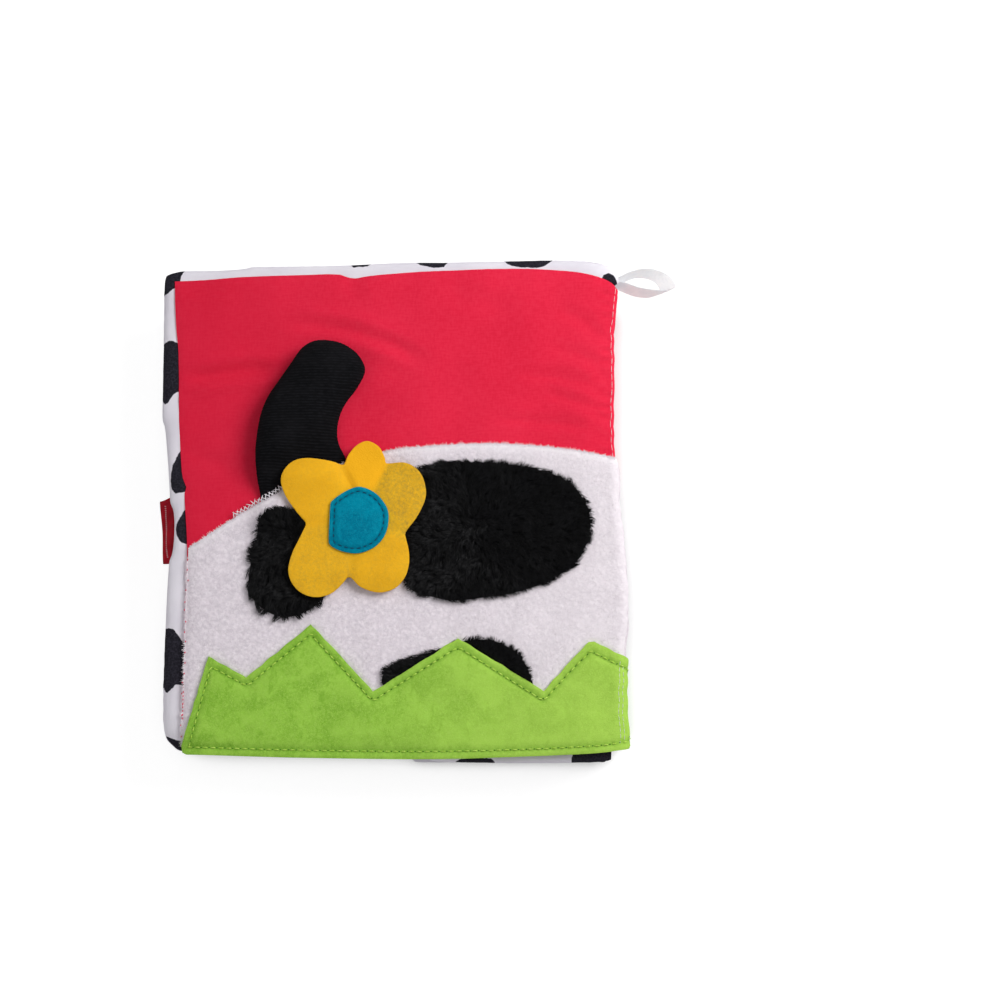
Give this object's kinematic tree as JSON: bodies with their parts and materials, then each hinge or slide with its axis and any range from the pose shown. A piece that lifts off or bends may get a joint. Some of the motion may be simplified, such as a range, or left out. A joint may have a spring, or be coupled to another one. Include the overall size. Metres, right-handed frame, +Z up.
{
  "type": "cloth activity book",
  "caption": "Soft cloth book lying closed: padded covers on stitched folds, back cover with plush, fur patches, stuffed tail, felt flower and felt grass, and a ribbon loop.",
  "frame": {"origin": "middle of the front cover's outer face, between fore edge and fold line and between head and foot, on the surface that the book lies on", "axes": "+X towards the spine, +Y towards the head of the book, +Z up through the back cover"},
  "size_m": [0.224, 0.21, 0.0523],
  "materials": {
    "cow_print_cotton": "matt printed cotton, white with black patches",
    "white_cotton": "matt plain cotton",
    "red_cotton": "soft sheen",
    "white_plush": "short pile",
    "black_fur": "long pile",
    "black_knit": "ribbed knit",
    "green_felt": "felt",
    "yellow_felt": "felt",
    "teal_felt": "felt",
    "white_ribbon": "woven tape",
    "red_ribbon": "woven tape"
  },
  "bodies": {
    "leaves_and_spine": {"pages": "white_cotton", "spine_sky": "red_cotton", "spine_plush": "white_plush", "spine_grass": "green_felt", "hang_loop": "white_ribbon"},
    "back_cover": {"back_cover_pad": "cow_print_cotton", "back_sky": "red_cotton", "back_plush": "white_plush", "back_grass": "green_felt", "rump_patch": "black_fur", "flank_patch": "black_fur", "belly_patch": "black_fur", "flower_petals": "yellow_felt", "flower_centre": "teal_felt", "tail": "black_knit", "side_tag": "red_ribbon"},
    "front_cover": {"front_cover_pad": "cow_print_cotton", "front_sky": "red_cotton", "front_plush": "white_plush", "front_grass": "green_felt"}
  },
  "joints": [
    {"name": "back_cover_fold", "type": "hinge", "parent": "leaves_and_spine", "child": "back_cover", "pos_m": [0.097, 0, 0.0361], "axis": [0, 1, 0], "range_deg": [0, 180]},
    {"name": "front_cover_fold", "type": "hinge", "parent": "leaves_and_spine", "child": "front_cover", "pos_m": [0.097, 0, 0], "axis": [0, -1, 0], "range_deg": [0, 180]}
  ]
}
